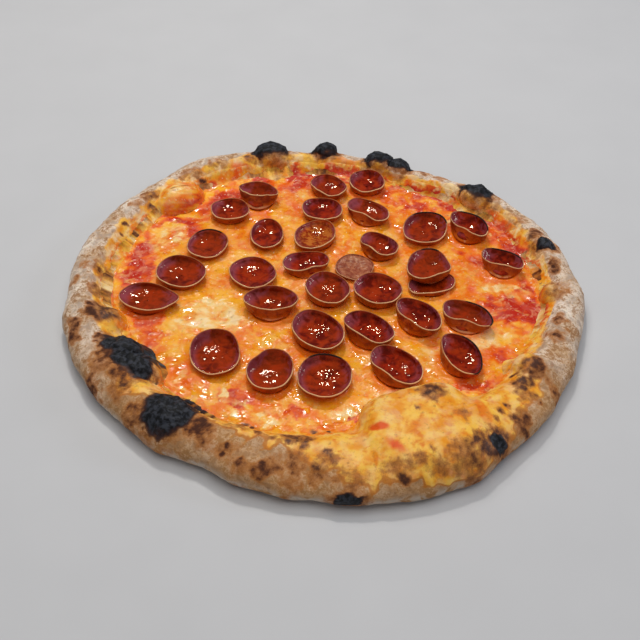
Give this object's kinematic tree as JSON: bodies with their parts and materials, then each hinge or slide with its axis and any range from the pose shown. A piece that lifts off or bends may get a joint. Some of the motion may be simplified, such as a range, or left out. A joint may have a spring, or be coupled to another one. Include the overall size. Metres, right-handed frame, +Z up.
{
  "type": "whole pepperoni pizza",
  "caption": "Round baked pizza: a puffed, charred dough rim round a dish of melted cheese and tomato sauce, topped with curled pepperoni cups.",
  "frame": {"origin": "middle of the pizza's bounding box, on the surface it rests on", "axes": "+Z up out of the pizza's face; -Y towards the side with the folded dough lobe; +X to the right of it"},
  "size_m": [0.2996, 0.2897, 0.0216],
  "materials": {
    "crust": "matte baked dough, flour-dusted, golden inside slope, brown leopard spots and black char blisters",
    "cheese_and_sauce": "oily melted cheese over tomato sauce, glossy orange-yellow with cream and red patches",
    "pepperoni": "glossy dark red cured sausage with a thin tan crisped lip"
  },
  "bodies": {
    "root": {"crust": "crust", "cheese_and_sauce": "cheese_and_sauce", "pepperoni_01": "pepperoni", "pepperoni_02": "pepperoni", "pepperoni_03": "pepperoni", "pepperoni_04": "pepperoni", "pepperoni_05": "pepperoni", "pepperoni_06": "pepperoni", "pepperoni_07": "pepperoni", "pepperoni_08": "pepperoni", "pepperoni_09": "pepperoni", "pepperoni_10": "pepperoni", "pepperoni_11": "pepperoni", "pepperoni_12": "pepperoni", "pepperoni_13": "pepperoni", "pepperoni_14": "pepperoni", "pepperoni_15": "pepperoni", "pepperoni_16": "pepperoni", "pepperoni_17": "pepperoni", "pepperoni_18": "pepperoni", "pepperoni_19": "pepperoni", "pepperoni_20": "pepperoni", "pepperoni_21": "pepperoni", "pepperoni_22": "pepperoni", "pepperoni_23": "pepperoni", "pepperoni_24": "pepperoni", "pepperoni_25": "pepperoni", "pepperoni_26": "pepperoni", "pepperoni_27": "pepperoni", "pepperoni_28": "pepperoni", "pepperoni_29": "pepperoni", "pepperoni_30": "pepperoni", "pepperoni_31": "pepperoni", "pepperoni_32": "pepperoni"}
  },
  "joints": []
}
